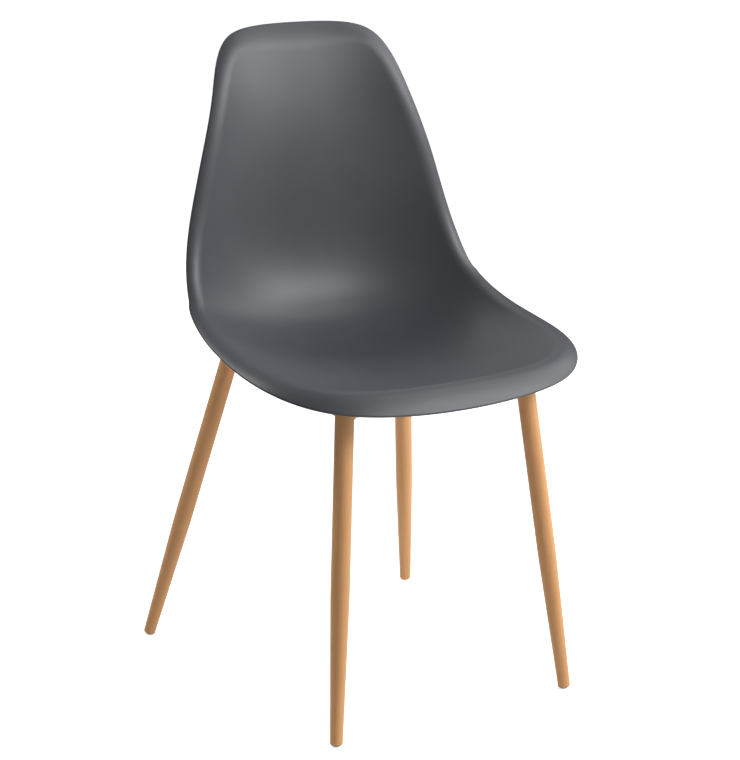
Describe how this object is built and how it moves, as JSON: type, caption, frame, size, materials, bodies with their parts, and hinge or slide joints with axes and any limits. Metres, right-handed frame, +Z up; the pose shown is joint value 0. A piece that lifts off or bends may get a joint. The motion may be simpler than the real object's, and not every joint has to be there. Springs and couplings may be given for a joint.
{
  "type": "moulded plastic shell chair",
  "caption": "One-piece moulded seat and back with a rolled edge, screwed to a welded tube frame whose splayed, tapered tube legs have a wood-look finish and end in plastic glides.",
  "frame": {"origin": "on the floor, in the middle of the chair's overall width and depth", "axes": "+X to the right as the chair is seen from the front, across its plane of symmetry; -Y is the way the sitter faces; +Z up"},
  "size_m": [0.472, 0.4986, 0.8549],
  "materials": {
    "shell_plastic": "anthracite polypropylene, fine satin grain",
    "wood_look_coating": "light beech wood-look coating on steel tube, satin",
    "glide_plastic": "pale grey polyethylene, satin",
    "plug_plastic": "black polyethylene",
    "pad_rubber": "black rubber",
    "insert_brass": "knurled brass",
    "zinc_steel": "zinc plated"
  },
  "bodies": {
    "root": {"brass_inserts": "insert_brass", "fixing_plate_front_left": "wood_look_coating", "fixing_plate_front_right": "wood_look_coating", "fixing_plate_rear_left": "wood_look_coating", "fixing_plate_rear_right": "wood_look_coating", "foot_glide_front_left": "glide_plastic", "foot_glide_front_right": "glide_plastic", "foot_glide_rear_left": "glide_plastic", "foot_glide_rear_right": "glide_plastic", "leg_front_left": "wood_look_coating", "leg_front_right": "wood_look_coating", "leg_plug_front_left": "plug_plastic", "leg_plug_front_right": "plug_plastic", "leg_plug_rear_left": "plug_plastic", "leg_plug_rear_right": "plug_plastic", "leg_rear_left": "wood_look_coating", "leg_rear_right": "wood_look_coating", "rail_front": "wood_look_coating", "rail_left": "wood_look_coating", "rail_rear": "wood_look_coating", "rail_right": "wood_look_coating", "rubber_pads": "pad_rubber", "screw_washers": "zinc_steel", "seat_shell": "shell_plastic", "shell_screws": "zinc_steel"}
  },
  "joints": []
}
